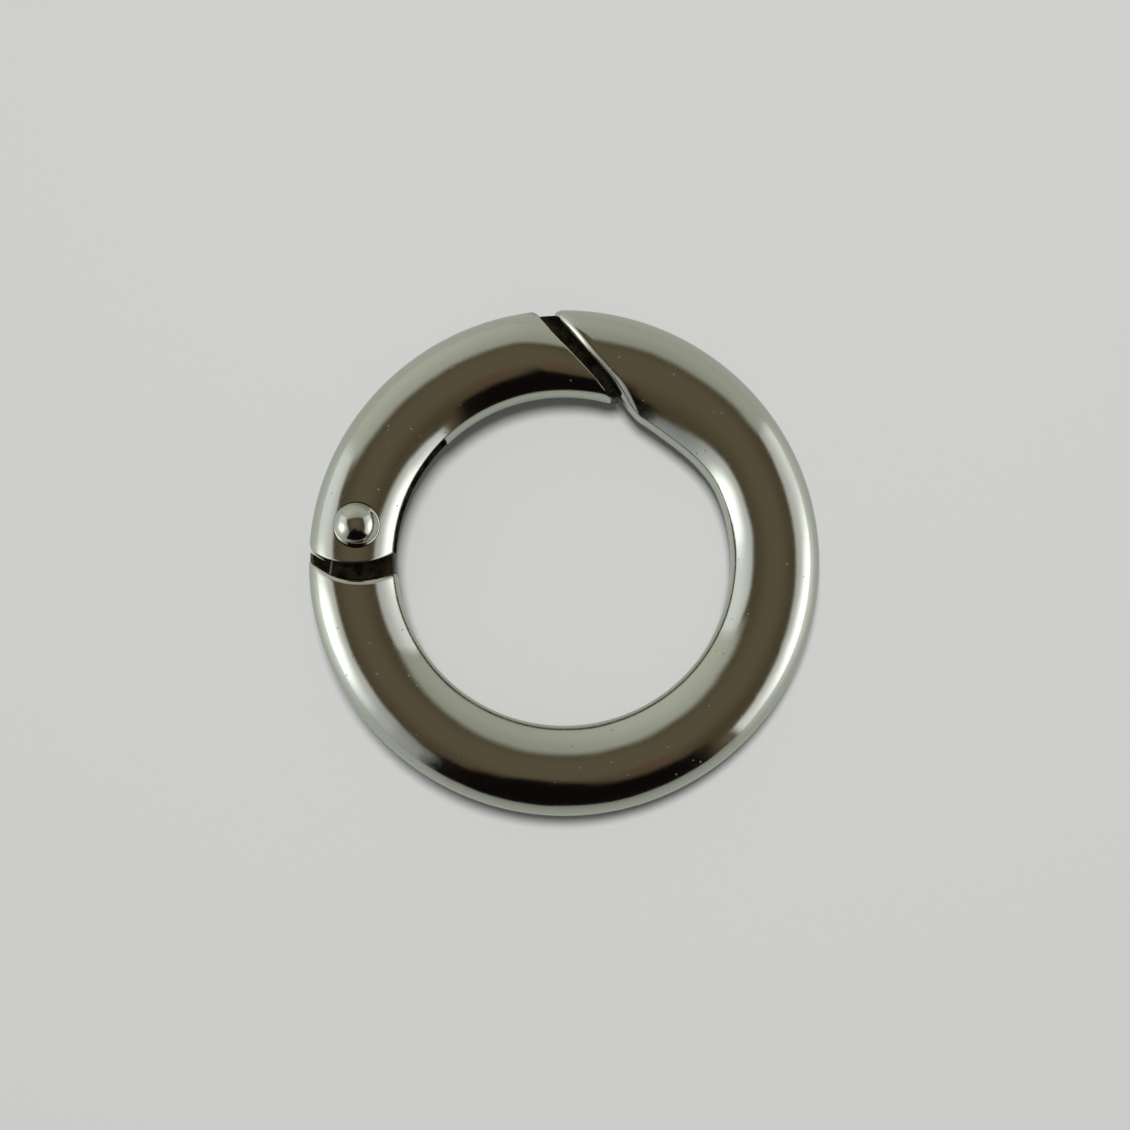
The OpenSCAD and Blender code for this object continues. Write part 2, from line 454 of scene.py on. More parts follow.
# %% Normals of a row
def roll_up(turn, side, up, push):
    reach, a = MEAN_RADIUS + side + push(turn, side), np.radians(turn)
    return np.stack([reach * np.cos(a), reach * np.sin(a), up], -1)


def row_normal(row, first, last, push):
    turn, inset, after, before, angle, where = row
    side, up = SIDE - inset * np.cos(AROUND), UP - inset * np.sin(AROUND)
    along = roll_up(turn + TINY, side, up, push) - roll_up(turn - TINY, side, up, push)
    ds, du = -TINY * np.sin(AROUND), TINY * np.cos(AROUND)
    across = roll_up(turn, side + ds, up + du, push) - roll_up(turn, side - ds, up - du, push)
    skin = unit(np.cross(across, along))
    a = np.radians(turn)
    wanted = np.stack([np.cos(a) * np.cos(AROUND), np.sin(a) * np.cos(AROUND), np.sin(AROUND)], -1)
    skin *= np.sign((skin * wanted).sum(-1, keepdims=True))
    radius = MEAN_RADIUS + side + push(turn, side)
    for end, outward, distance in ((first, -1, after), (last, 1, before)):
        away = -face_normal(end["cut"], radius, outward)
        away -= skin * (away * skin).sum(-1, keepdims=True)
        skin = unit(skin + away * worn_slope(distance, end)[:, None])
    if where:
        cut, outward = ((first["cut"], -1), (last["cut"], 1))[where - 1]
        skin = math.cos(angle) * unit(skin) + math.sin(angle) * face_normal(cut, radius, outward)
    return unit(skin)


# %% Faces of the skin and of an end
SIDES = len(AROUND)
HALF = SIDES // 2
END_STEPS = 6


def skin_faces(count):
    faces = []
    for i in range(count - 1):
        for j in range(SIDES):
            k = (j + 1) % SIDES
            faces.append((i * SIDES + j, i * SIDES + k, (i + 1) * SIDES + k, (i + 1) * SIDES + j))
    return faces


def end_columns(row, cut, outward, side, values, normals):
    """Add upright columns of points from the upper edge of an end to the lower one."""
    columns = {0: [row * SIDES], HALF: [row * SIDES + HALF]}
    for j in range(1, HALF):
        top, bottom = row * SIDES + j, row * SIDES + SIDES - j
        radius = np.array([MEAN_RADIUS + side[row, j] + values["push"][top]])
        column = [top]
        for m in range(1, END_STEPS):
            for key in values:
                level = 1 - 2 * m / END_STEPS
                values[key].append(level if key == "level" else values[key][top])
            normals.append(tuple(face_normal(cut, radius, outward)[0]))
            column.append(len(normals) - 1)
        columns[j] = column + [bottom]
    return columns


def end_faces(columns, turned_over):
    faces = []
    for j in range(HALF):
        left, right = columns[j], columns[j + 1]
        for m in range(END_STEPS):
            quad = [left[min(m, len(left) - 1)], right[min(m, len(right) - 1)],
                    right[min(m + 1, len(right) - 1)], left[min(m + 1, len(left) - 1)]]
            quad = list(dict.fromkeys(quad))
            faces.append(tuple(reversed(quad) if turned_over else quad))
    return faces


# %% Build one bar
def volume(mesh):
    work = bmesh.new()
    work.from_mesh(mesh)
    total = work.calc_volume(signed=True)
    work.free()
    return total


def sheet(name, values, faces):
    """A mesh whose points carry the values; the tree puts them in place."""
    mesh = bpy.data.meshes.new(name)
    mesh.from_pydata([(i / 100, 0, 0) for i in range(len(values["turn"]))], [], faces)
    for key, data in values.items():
        mesh.attributes.new(key, "FLOAT", "POINT").data.foreach_set("value", np.array(data, np.float32))
    return new_object(name, mesh)


def bar(name, first, last, push, steps, finish, arcs=9):
    rows = bar_rows(first, last, push, steps, arcs)
    count = len(rows)
    turn, inset = np.array([row[0] for row in rows]), np.array([row[1] for row in rows])
    side = SIDE - inset * np.cos(AROUND)
    values = {
        "turn": list(turn.ravel()),
        "around": list(AROUND) * count,
        "side": list(SIDE) * count,
        "up": list(UP) * count,
        "inset": list(inset.ravel()),
        "push": list(push(turn, side).ravel()),
        "level": [1.0] * turn.size,
    }
    normals = [tuple(n) for row in rows for n in row_normal(row, first, last, push)]
    faces = skin_faces(count)
    faces += end_faces(end_columns(0, first["cut"], -1, side, values, normals), True)
    faces += end_faces(end_columns(count - 1, last["cut"], 1, side, values, normals), False)
    obj = apply_tree(sheet(name, values, faces), ROLL, finish)
    for key in values:
        obj.data.attributes.remove(obj.data.attributes[key])
    if volume(obj.data) < 0:
        obj.data.flip_normals()
    print(name, "bar has", count, "rows and", round(volume(obj.data), 1), "mm3")
    return obj, normals


# %% [markdown]
# ## Finishes
# The casting is nickel plated and polished to a mirror, so almost all that it shows is the studio
# round it. What makes it real is small: a slow waviness left by polishing, fine haze, pin holes of
# the casting, and dull rough metal where the polishing wheel never reached. That dull metal is also
# painted dark as shade, darkest deep in the gaps. Noise and cells on Object coordinates give all of
# it at any distance, and the pattern moves with its piece.

# %% Node helpers for the finishes
NOISE_SPAN = (0.3, 0.7)


def finish_tree(name):
    material = bpy.data.materials.new(name)
    material.use_nodes = True
    tree = material.node_tree
    where = tree.nodes.new("ShaderNodeTexCoord")
    return material, tree, where.outputs["Object"]


def noise(tree, where, scale, detail, roughness=0.5):
    node = tree.nodes.new("ShaderNodeTexNoise")
    node.inputs["Scale"].default_value = scale
    node.inputs["Detail"].default_value = detail
    node.inputs["Roughness"].default_value = roughness
    tree.links.new(where, node.inputs["Vector"])
    return node.outputs["Fac"]


def ramp(tree, value, low, high, to_low=0.0, to_high=1.0, kind="SMOOTHSTEP"):
    node = tree.nodes.new("ShaderNodeMapRange")
    node.interpolation_type = kind
    for name, number in (("From Min", low), ("From Max", high), ("To Min", to_low), ("To Max", to_high)):
        node.inputs[name].default_value = number
    tree.links.new(value, node.inputs["Value"])
    return node.outputs["Result"]


def bump_node(tree, height, distance, below=None):
    node = tree.nodes.new("ShaderNodeBump")
    node.inputs["Strength"].default_value = 1.0
    node.inputs["Distance"].default_value = distance
    tree.links.new(height, node.inputs["Height"])
    if below is not None:
        tree.links.new(below, node.inputs["Normal"])
    return node.outputs["Normal"]


def mix_colour(tree, factor, a, b):
    node = tree.nodes.new("ShaderNodeMix")
    node.data_type = "RGBA"
    tree.links.new(factor, node.inputs["Factor"])
    node.inputs["A"].default_value = (*a, 1)
    node.inputs["B"].default_value = (*b, 1)
    return node.outputs["Result"]


def make_metal(tree, colour, rough, normal):
    shader = tree.nodes["Principled BSDF"]
    shader.inputs["Metallic"].default_value = 1.0
    tree.links.new(colour, shader.inputs["Base Color"])
    tree.links.new(rough, shader.inputs["Roughness"])
    tree.links.new(normal, shader.inputs["Normal"])


# %% Polished nickel plate: depths in metres, pattern scales per metre
WAVE_SCALE, WAVE_DEPTH = 260, 0.00006
HAZE_SCALE, HAZE_DEPTH = 2600, 0.0000012
HOLE_SCALE, HOLE_DEPTH = 1700, 0.000015
HOLE_SHARE, HOLE_SIZE = 0.2, 0.12
HOLE_COLOUR, HOLE_ROUGH = (0.40, 0.36, 0.30), 0.3
MIRROR_ROUGH, HAZE_ROUGH = 0.10, 0.15


def pin_holes(tree, where):
    cells = tree.nodes.new("ShaderNodeTexVoronoi")
    cells.inputs["Scale"].default_value = HOLE_SCALE
    tree.links.new(where, cells.inputs["Vector"])
    split = tree.nodes.new("ShaderNodeSeparateColor")
    tree.links.new(cells.outputs["Color"], split.inputs["Color"])
    chosen = ramp(tree, split.outputs[0], 1 - HOLE_SHARE, 1 - HOLE_SHARE + 0.001, kind="LINEAR")
    hole = ramp(tree, cells.outputs["Distance"], HOLE_SIZE * 0.5, HOLE_SIZE, to_low=1.0, to_high=0.0)
    return wire_up(tree, "MULTIPLY", chosen, hole)


def polished_nickel(name, tint, wave):
    material, tree, where = finish_tree(name)
    slow = noise(tree, where, WAVE_SCALE, detail=1.0)
    haze = noise(tree, where, HAZE_SCALE, detail=4.0, roughness=0.6)
    holes = pin_holes(tree, where)
    colour = mix_colour(tree, holes, tint, HOLE_COLOUR)
    skin_rough = ramp(tree, haze, *NOISE_SPAN, MIRROR_ROUGH, HAZE_ROUGH)
    rough = wire_up(tree, "ADD", skin_rough, wire_up(tree, "MULTIPLY", holes, HOLE_ROUGH))
    wavy = bump_node(tree, slow, WAVE_DEPTH * wave)
    pitted = bump_node(tree, wire_up(tree, "MULTIPLY", holes, -1.0), HOLE_DEPTH, wavy)
    make_metal(tree, colour, rough, bump_node(tree, haze, HAZE_DEPTH, pitted))
    return material


# %% Unpolished cast surfaces, painted dark as shade
GRAIN_SCALE, GRAIN_DEPTH = 2200, 0.00004
BLOTCH_SCALE, BLOTCH_SPAN = 900, (0.35, 0.65)


def cast_nickel_and_shade(name, dark, light):
    material, tree, where = finish_tree(name)
    grain = noise(tree, where, GRAIN_SCALE, detail=5.0, roughness=0.65)
    blotch = noise(tree, where, BLOTCH_SCALE, detail=4.0, roughness=0.65)
    colour = mix_colour(tree, ramp(tree, blotch, *BLOTCH_SPAN), dark, light)
    rough = ramp(tree, grain, *NOISE_SPAN, to_low=0.32, to_high=0.55)
    make_metal(tree, colour, rough, bump_node(tree, grain, GRAIN_DEPTH))
    return material


# %% Spring steel wire
DRAW_SCALE, DRAW_DEPTH = 3000, 0.000004


def spring_steel(name, dark, light):
    material, tree, where = finish_tree(name)
    draw = noise(tree, where, DRAW_SCALE, detail=3.0, roughness=0.6)
    colour = mix_colour(tree, ramp(tree, draw, *NOISE_SPAN), dark, light)
    rough = ramp(tree, draw, *NOISE_SPAN, to_low=0.18, to_high=0.34)
    make_metal(tree, colour, rough, bump_node(tree, draw, DRAW_DEPTH))
    return material


# %% The finishes of this object
NICKEL = (0.66, 0.61, 0.53)
PLATE = polished_nickel("polished_nickel", NICKEL, wave=1.0)
RIVET_FINISH = polished_nickel("rivet_nickel", NICKEL, wave=0.4)
# Both cast finishes are far darker than nickel: painted shade for the slots, bores, tongue, groove and
# tab. SHADED is the darkest, for the deep gaps at the hinge and the nose.
CAST_AND_SHADE = cast_nickel_and_shade("cast_nickel_and_shade", dark=(0.05, 0.042, 0.032), light=(0.30, 0.26, 0.21))
SHADED = cast_nickel_and_shade("shaded_casting", dark=(0.02, 0.017, 0.012), light=(0.10, 0.085, 0.065))
WIRE_FINISH = spring_steel("spring_steel", dark=(0.42, 0.40, 0.37), light=(0.58, 0.56, 0.52))
print("finishes:", [m.name for m in bpy.data.materials])


# %% [markdown]
# ## Solid helpers
# Slots, bores and tongues are cut with simple closed prisms through the exact Boolean modifier.
# Each cutter brings its own finish, so the faces that it leaves are told apart afterwards: those
# take flat or round shading from their own shape, while the bar's faces get back the normals that
# were worked out with the bar.

# %% Outlines and prisms
def arc(centre, radius, first, last, step=3.0):
    count = max(2, int(abs(last - first) / step) + 1)
    return [np.array(centre) + polar(radius, a) for a in np.linspace(first, last, count)]


def prism(name, outline, low, high, finish):
    work = bmesh.new()
    floor = [work.verts.new((p[0], p[1], low)) for p in outline]
    roof = [work.verts.new((p[0], p[1], high)) for p in outline]
    work.faces.new(floor[::-1])
    work.faces.new(roof)
    for i in range(len(outline)):
        k = (i + 1) % len(outline)
        work.faces.new((floor[i], floor[k], roof[k], roof[i]))
    bmesh.ops.recalc_face_normals(work, faces=work.faces)
    mesh = bpy.data.meshes.new(name)
    work.to_mesh(mesh)
    work.free()
    mesh.materials.append(finish)
    return new_object(name, mesh)


def cylinder(name, centre, radius, low, high, finish, step=5.0):
    return prism(name, arc(centre, radius, 0, 360, step)[:-1], low, high, finish)


# %% Boolean operations
def combine(obj, other, operation):
    modifier = obj.modifiers.new("solid", "BOOLEAN")
    modifier.operation = operation
    modifier.solver = "EXACT"
    modifier.material_mode = "TRANSFER"
    modifier.object = other
    run_modifier(obj)
    drop(other)


# %% The bar's exact normals, found again by place
SKIN_NEAR = 0.01


def place_key(place):
    return tuple(round(c, 4) for c in place)


def normal_table(obj, normals):
    return {place_key(vertex.co): n for vertex, n in zip(obj.data.vertices, normals)}


def normal_between(place, source, nearest, table):
    """The normal at a place between the bar's points, from the corners of the nearest face."""
    _, _, face, distance = nearest.find_nearest(place)
    if distance >= SKIN_NEAR:
        return None
    total = np.zeros(3)
    for v in source.data.polygons[face].vertices:
        corner = source.data.vertices[v].co
        total += 1 / (1e-6 + (corner - place).length ** 2) * np.array(table[place_key(corner)])
    return total / np.linalg.norm(total)


# %% Shade a finished piece and bring it to metres
CASTING_EDGE, RIVET_EDGE = 32, 40


def smooth_mesh(mesh, edge_angle):
    mesh.set_sharp_from_angle(angle=math.radians(edge_angle))
    for polygon in mesh.polygons:
        polygon.use_smooth = True


def finish_piece(obj, source, table):
    mesh = obj.data
    smooth_mesh(mesh, CASTING_EDGE)
    corners = np.zeros(len(mesh.loops) * 3)
    mesh.corner_normals.foreach_get("vector", corners)
    corners = corners.reshape(-1, 3)
    nearest = BVHTree.FromObject(source, bpy.context.evaluated_depsgraph_get())
    plated = [material == PLATE for material in mesh.materials]
    between = 0
    for polygon in mesh.polygons:
        if not plated[polygon.material_index]:
            continue
        for loop in polygon.loop_indices:
            place = mesh.vertices[mesh.loops[loop].vertex_index].co
            found = table.get(place_key(place))
            if found is None:
                found = normal_between(place, source, nearest, table)
                between += 1
            if found is not None:
                corners[loop] = found
    mesh.normals_split_custom_set([tuple(n) for n in corners])
    mesh.transform(Matrix.Scale(MM, 4))
    mesh.update()
    print(obj.name, len(mesh.polygons), "faces,", between, "corners between the bar's points")
    drop(source)


# %% [markdown]
# ## Ring casting
# The C-shaped body runs from the round recess at the hinge, all the way round, to the nose that
# the gate shuts against. Its inner side swells a little behind the nose. A flat tongue stands in
# the recess and carries the rivet. The tongue could be a plain prism, but its flanks follow the
# bar: so it is cut from a core of the same bar, which lies a tenth of a millimetre under the skin.

# %% Ring bar
RECESS_RIM = even_rim(0.58)
NOSE_RIM = changing_rim([-3.3, -2.3, -1.5, -0.5, 0.8, 3.25], [1.2, 1.15, 0.9, 1.0, 1.25, 1.3])

recess_end = bar_end(recess_cut, RECESS_RIM, depth=0.03, length=1.5, fade=20)
nose_end = bar_end(nose_cut, NOSE_RIM, depth=-0.15, length=4.5, fade=45)
ring, ring_normals = bar("ring_casting", recess_end, nose_end, ring_push, steps=320, finish=PLATE)
ring_source = new_object("ring_source", ring.data.copy())
ring_table = normal_table(ring, ring_normals)

# %% A plain length of the bar under the skin, for tongue and tab
CORE_RIM = even_rim(0.05)
CORE_DEPTH, WHOLE_LENGTH = 0.1, 1e6


def core_bar(name, from_turn, to_turn):
    def square_cut(turn):
        return lambda radius: turn + 0 * radius

    first = bar_end(square_cut(from_turn), CORE_RIM, CORE_DEPTH, WHOLE_LENGTH, fade=5, share=1.0)
    last = bar_end(square_cut(to_turn), CORE_RIM, fade=5)
    # The core takes the darkest cast finish: painted shade, since tongue and tab sit deep in their gaps.
    return bar(name, first, last, no_push, steps=60, finish=SHADED, arcs=3)[0]


# %% Outline of the tongue from above
TONGUE_RADIUS, NECK_HALF = 2.32, 2.28
CLEAR_RADIUS = EAR_RADIUS + 0.12
PAST_OUTSIDE, PAST_INSIDE = 20.0, 11.8
LEAD_TURN, ROOT_INSIDE, ROOT_OUTSIDE = 6.5, 18, 14


def tongue_outline():
    out_r, in_r = PIVOT_RADIUS + NECK_HALF, PIVOT_RADIUS - NECK_HALF
    stop = on_circle(out_r, EAR_CENTRE, CLEAR_RADIUS, 1)
    far = on_circle(PAST_OUTSIDE, EAR_CENTRE, CLEAR_RADIUS, 1)
    edge = arc((0, 0), out_r, HINGE_TURN, stop)
    shoulder = [polar(r, on_circle(r, EAR_CENTRE, CLEAR_RADIUS, 1))
                for r in np.linspace(out_r, PAST_OUTSIDE, 14)[1:]]
    back = [polar(PAST_OUTSIDE, far + ROOT_OUTSIDE), polar(PAST_INSIDE, HINGE_TURN + ROOT_INSIDE)]
    lead = [polar(PAST_INSIDE, HINGE_TURN + LEAD_TURN)]
    inner = arc((0, 0), in_r, HINGE_TURN + LEAD_TURN, HINGE_TURN)
    round_end = arc(PIVOT, TONGUE_RADIUS, HINGE_TURN - 180, HINGE_TURN)
    return edge + shoulder + back + lead + inner + round_end[1:-1]


# %% Tongue with room for the spring's coil
TONGUE_HALF, CORE_BEFORE, CORE_AFTER = 1.09, 14, 24
COIL_FLOOR, COIL_ROOF, COIL_POCKET = -0.03, 2.0, 1.95
ROOM_BEFORE, ROOM_AFTER = 16, 5
ROOM_INSIDE, ROOM_OUTSIDE = 11, 20.5

core = core_bar("tongue", HINGE_TURN - CORE_BEFORE, HINGE_TURN + CORE_AFTER)
slab = prism("tongue_slab", tongue_outline(), -TONGUE_HALF, TONGUE_HALF, SHADED)
combine(core, slab, "INTERSECT")
coil_side = [polar(ROOM_INSIDE, HINGE_TURN - ROOM_BEFORE), polar(ROOM_OUTSIDE, HINGE_TURN - ROOM_BEFORE),
             polar(ROOM_OUTSIDE, HINGE_TURN + ROOM_AFTER), polar(ROOM_INSIDE, HINGE_TURN + ROOM_AFTER)]
combine(core, prism("coil_room", coil_side, COIL_FLOOR, COIL_ROOF, CAST_AND_SHADE), "DIFFERENCE")
combine(core, cylinder("coil_pocket", PIVOT, COIL_POCKET, COIL_FLOOR, COIL_ROOF, CAST_AND_SHADE), "DIFFERENCE")
print("tongue volume", round(volume(core.data), 1), "mm3")
combine(ring, core, "UNION")

# %% Groove in the nose and bore in the tongue
GROOVE_HALF, GROOVE_OUTSIDE = 1.25, 18.75
GROOVE_SWING, GROOVE_START = 60, np.array([-6.0, 6.0])
RING_BORE, THROUGH = 0.95, 4

# The groove's walls take the darkest cast finish: painted shade.
groove_outline = arc(PIVOT, GROOVE_RADIUS, 0, GROOVE_SWING, step=1.0) + [GROOVE_START]
groove = prism("groove", groove_outline, -GROOVE_HALF, GROOVE_HALF, SHADED)
groove_band = cylinder("groove_band", (0, 0), GROOVE_OUTSIDE, -THROUGH, THROUGH, SHADED, step=2.0)
combine(groove, groove_band, "INTERSECT")
combine(ring, groove, "DIFFERENCE")
combine(ring, cylinder("bore", PIVOT, RING_BORE, -THROUGH, THROUGH, CAST_AND_SHADE), "DIFFERENCE")
print("ring casting volume", round(volume(ring.data), 1), "mm3")
finish_piece(ring, ring_source, ring_table)

# %% [markdown]
# ## Gate
# The gate is the same bar between its two rounded ears and the flat joint face. A slot from below
# the hinge holds the tongue and the spring, and a tab at its tip enters the groove of the nose.
# The front of the tab is an arc about the rivet, so it leaves the groove without rubbing.

# %% Gate bar
FACE_RIM = changing_rim([-3.3, -2.4, 1.5, 3.25], [0.8, 0.28, 0.28, 0.15])
EAR_RIM = even_rim(0.12)

face_end = bar_end(gate_face_cut, FACE_RIM, depth=0.36, length=2.4, fade=40)
ear_end = bar_end(ear_cut, EAR_RIM, depth=0.02, length=1.0, fade=15)
gate, gate_normals = bar("gate_casting", face_end, ear_end, no_push, steps=150, finish=PLATE)
gate_source = new_object("gate_source", gate.data.copy())
gate_table = normal_table(gate, gate_normals)

# %% Outline of the tab from above
TAB_RADIUS, TAB_INSIDE = GROOVE_RADIUS - 0.05, 12.6
TAB_FROM, TAB_TO = 62, 112
TIP_BACK, TIP_SWING, FRONT_SWING = 4, 2.4, 25
TAB_START = polar(24, 90)


def rounded(start, corner, end, steps):
    """A corner rounded off by a curve that touches both of its sides."""
    return [start * (1 - t) ** 2 + 2 * corner * t * (1 - t) + end * t * t
            for t in np.linspace(0, 1, steps)]


def tab_outline():
    tip = on_circle(TAB_INSIDE, PIVOT, TAB_RADIUS, -1)
    corner = polar(TAB_INSIDE, tip)
    lean = math.degrees(math.atan2(*(corner - PIVOT)[::-1]))
    tip_start = polar(TAB_INSIDE, tip + TIP_BACK)
    tip_end = PIVOT + polar(TAB_RADIUS, lean + TIP_SWING)
    inner = arc((0, 0), TAB_INSIDE, TAB_TO, tip + TIP_BACK, step=2.0)[:-1]
    front = arc(PIVOT, TAB_RADIUS, lean + TIP_SWING, lean + FRONT_SWING, step=1.0)[1:]
    return inner + rounded(tip_start, corner, tip_end, steps=9) + front + [TAB_START]


# %% Tab
TAB_HALF, TAB_OUTSIDE = 1.1, 18.35

tab = core_bar("tab", TAB_FROM, TAB_TO)
combine(tab, prism("tab_band", tab_outline(), -TAB_HALF, TAB_HALF, SHADED), "INTERSECT")
tab_reach = cylinder("tab_reach", (0, 0), TAB_OUTSIDE, -THROUGH, THROUGH, SHADED, step=2.0)
combine(tab, tab_reach, "INTERSECT")
print("tab volume", round(volume(tab.data), 1), "mm3")
combine(gate, tab, "UNION")

# %% Slot, bore and the seats of the rivet's heads
SLOT_HALF, SLOT_OUTSIDE, SLOT_INSIDE = 1.15, 17.9, 10.0
SLOT_FROM, SLOT_TO = 135, 200
GATE_BORE = 0.92
SEAT_HEIGHT, HEAD_RADIUS, SEAT_PLAY = 1.901, 1.7, 0.03

slot_outer = arc((0, 0), SLOT_OUTSIDE, SLOT_FROM, SLOT_TO, step=2.0)
slot_inner = arc((0, 0), SLOT_INSIDE, SLOT_TO, SLOT_FROM, step=5.0)
combine(gate, prism("slot", slot_outer + slot_inner, -SLOT_HALF, SLOT_HALF, CAST_AND_SHADE), "DIFFERENCE")
combine(gate, cylinder("bore", PIVOT, GATE_BORE, -THROUGH, THROUGH, CAST_AND_SHADE), "DIFFERENCE")
for low, high in ((SEAT_HEIGHT, THROUGH), (-THROUGH, -SEAT_HEIGHT)):
    combine(gate, cylinder("seat", PIVOT, HEAD_RADIUS + SEAT_PLAY, low, high, CAST_AND_SHADE), "DIFFERENCE")
print("gate volume", round(volume(gate.data), 1), "mm3")
finish_piece(gate, gate_source, gate_table)

# %% [markdown]
# ## Rivet
# The rivet is turned and closed with a domed punch on both sides. A lathe shape is one outline
# carried round an axis. A Screw modifier could carry it too, but the loop below puts it straight
# on the pivot.

# %% Outline of the rivet from its axis outwards
HEAD_WALL, HEAD_EDGE, SHANK_RADIUS = 0.25, 0.06, 0.9
DOME_HEIGHT = SEAT_HEIGHT + HEAD_WALL
DOME_STEPS = 40


def rivet_outline():
    points = []
    for a in np.linspace(90, 0, DOME_STEPS):
        lean = math.radians(a)
        points.append((HEAD_RADIUS * math.cos(lean), DOME_HEIGHT + HEAD_RADIUS * math.sin(lean)))
    for a in (0, -30, -60, -90):
        lean = math.radians(a)
        points.append((HEAD_RADIUS - HEAD_EDGE + HEAD_EDGE * math.cos(lean),
                       SEAT_HEIGHT + HEAD_EDGE + HEAD_EDGE * math.sin(lean)))
    points.append((SHANK_RADIUS, SEAT_HEIGHT))
    return points + [(r, -z) for r, z in points[::-1]]


# %% Turn the rivet
RIVET_SIDES = 96
SAME_PLACE = 1e-5


def clean_mesh(mesh):
    """Merge points that lie on each other and turn all faces outwards."""
    work = bmesh.new()
    work.from_mesh(mesh)
    bmesh.ops.remove_doubles(work, verts=work.verts, dist=SAME_PLACE)
    bmesh.ops.recalc_face_normals(work, faces=work.faces)
    work.to_mesh(mesh)
    work.free()


def turned(name, outline, sides, finish):
    points, faces = [], []
    for r, z in outline:
        for j in range(sides):
            t = 2 * math.pi * j / sides
            points.append((PIVOT[0] + r * math.cos(t), PIVOT[1] + r * math.sin(t), z))
    for i in range(len(outline) - 1):
        for j in range(sides):
            k = (j + 1) % sides
            faces.append((i * sides + j, (i + 1) * sides + j, (i + 1) * sides + k, i * sides + k))
    mesh = bpy.data.meshes.new(name)
    mesh.from_pydata(points, [], faces)
    mesh.materials.append(finish)
    clean_mesh(mesh)
    return new_object(name, mesh)


rivet = turned("domed_rivet", rivet_outline(), RIVET_SIDES, RIVET_FINISH)
smooth_mesh(rivet.data, RIVET_EDGE)
rivet.data.transform(Matrix.Scale(MM, 4))
print("rivet has", len(rivet.data.polygons), "faces")

# %% [markdown]
# ## Spring
# The spring is one wire: a straight leg that pushes on the gate, two turns round the rivet, and a
# leg held by the ring. A wire follows a path, so a Geometry Nodes tree turns the path into a curve
# and carries a circle along it.

# %% Path of the wire
COIL_RADIUS, COIL_TURNS, COIL_STEPS = 1.5, 2, 96
GATE_LEG, RING_LEG, LEG_STEPS = 5.1, 4.7, 17
LOW_LEG, HIGH_LEG = 0.18, 0.93


def spring_path():
    """The path is laid out round the origin, then turned and brought to the pivot."""
    whole = 2 * math.pi * COIL_TURNS
    path = [(COIL_RADIUS, -GATE_LEG * (1 - t), LOW_LEG) for t in np.linspace(0, 1, LEG_STEPS + 1)[:-1]]
    for t in np.linspace(0, whole, COIL_STEPS + 1):
        height = LOW_LEG + (HIGH_LEG - LOW_LEG) * t / whole
        path.append((COIL_RADIUS * math.cos(t), COIL_RADIUS * math.sin(t), height))
    path += [(COIL_RADIUS, RING_LEG * t, HIGH_LEG) for t in np.linspace(0, 1, LEG_STEPS + 1)[1:]]
    turn = math.radians(HINGE_TURN)
    c, s = math.cos(turn), math.sin(turn)
    return [(PIVOT[0] + x * c - y * s, PIVOT[1] + x * s + y * c, z) for x, y, z in path]


# %% Geometry Nodes tree that makes wire of a path
def wire_tree():
    tree = bpy.data.node_groups.new("wire_along_path", "GeometryNodeTree")
    given, out = add_inputs(tree, {"Wire Radius": 0.18, "Sides": 14})
    to_curve = tree.nodes.new("GeometryNodeMeshToCurve")
    circle = tree.nodes.new("GeometryNodeCurvePrimitiveCircle")
    to_mesh = tree.nodes.new("GeometryNodeCurveToMesh")
    to_mesh.inputs["Fill Caps"].default_value = True
    tree.links.new(given.outputs["Geometry"], to_curve.inputs["Mesh"])
    tree.links.new(given.outputs["Sides"], circle.inputs["Resolution"])
    tree.links.new(given.outputs["Wire Radius"], circle.inputs["Radius"])
    tree.links.new(to_curve.outputs[0], to_mesh.inputs["Curve"])
    tree.links.new(circle.outputs["Curve"], to_mesh.inputs["Profile Curve"])
    end_tree(tree, to_mesh.outputs[0], given, out)
    return tree


# %% Wind the spring
path = spring_path()
wire_mesh = bpy.data.meshes.new("wound_spring")
wire_mesh.from_pydata(path, [(i, i + 1) for i in range(len(path) - 1)], [])
spring = apply_tree(new_object("wound_spring", wire_mesh), wire_tree(), WIRE_FINISH)
clean_mesh(spring.data)
for polygon in spring.data.polygons:
    polygon.use_smooth = len(polygon.vertices) == 4
spring.data.transform(Matrix.Scale(MM, 4))
print("spring has", len(spring.data.polygons), "faces")

# %% [markdown]
# ## Bodies
# Each piece stands for its CAD node and moves with that node's body. The spring is not attached
# to either body; it stays where it is wound.

# %% Ride and replace the CAD nodes
for piece, node, body, slot_name in (
    (ring, "ring_body", "ring", "plated_ring"),
    (gate, "gate", "gate", "plated_gate"),
    (rivet, "hinge_rivet", "gate", "plated_rivet"),
):
    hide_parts(node)
    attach(piece, body)
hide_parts("gate_spring")
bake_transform(spring)

# %% [markdown]
# ## Camera
# The view is from almost straight above, leaning a little towards the nearer side. A long lens
# from further off would flatten the ring; this one shows a little more of its far inner side.

# %% Camera
LEAN = math.radians(8.06)
CAMERA_DISTANCE, CAMERA_RIGHT, CAMERA_DOWN = 0.149, 0.000067, 0.000453
FOCAL_LENGTH, SENSOR_WIDTH, NEAREST = 63.7, 36, 0.01

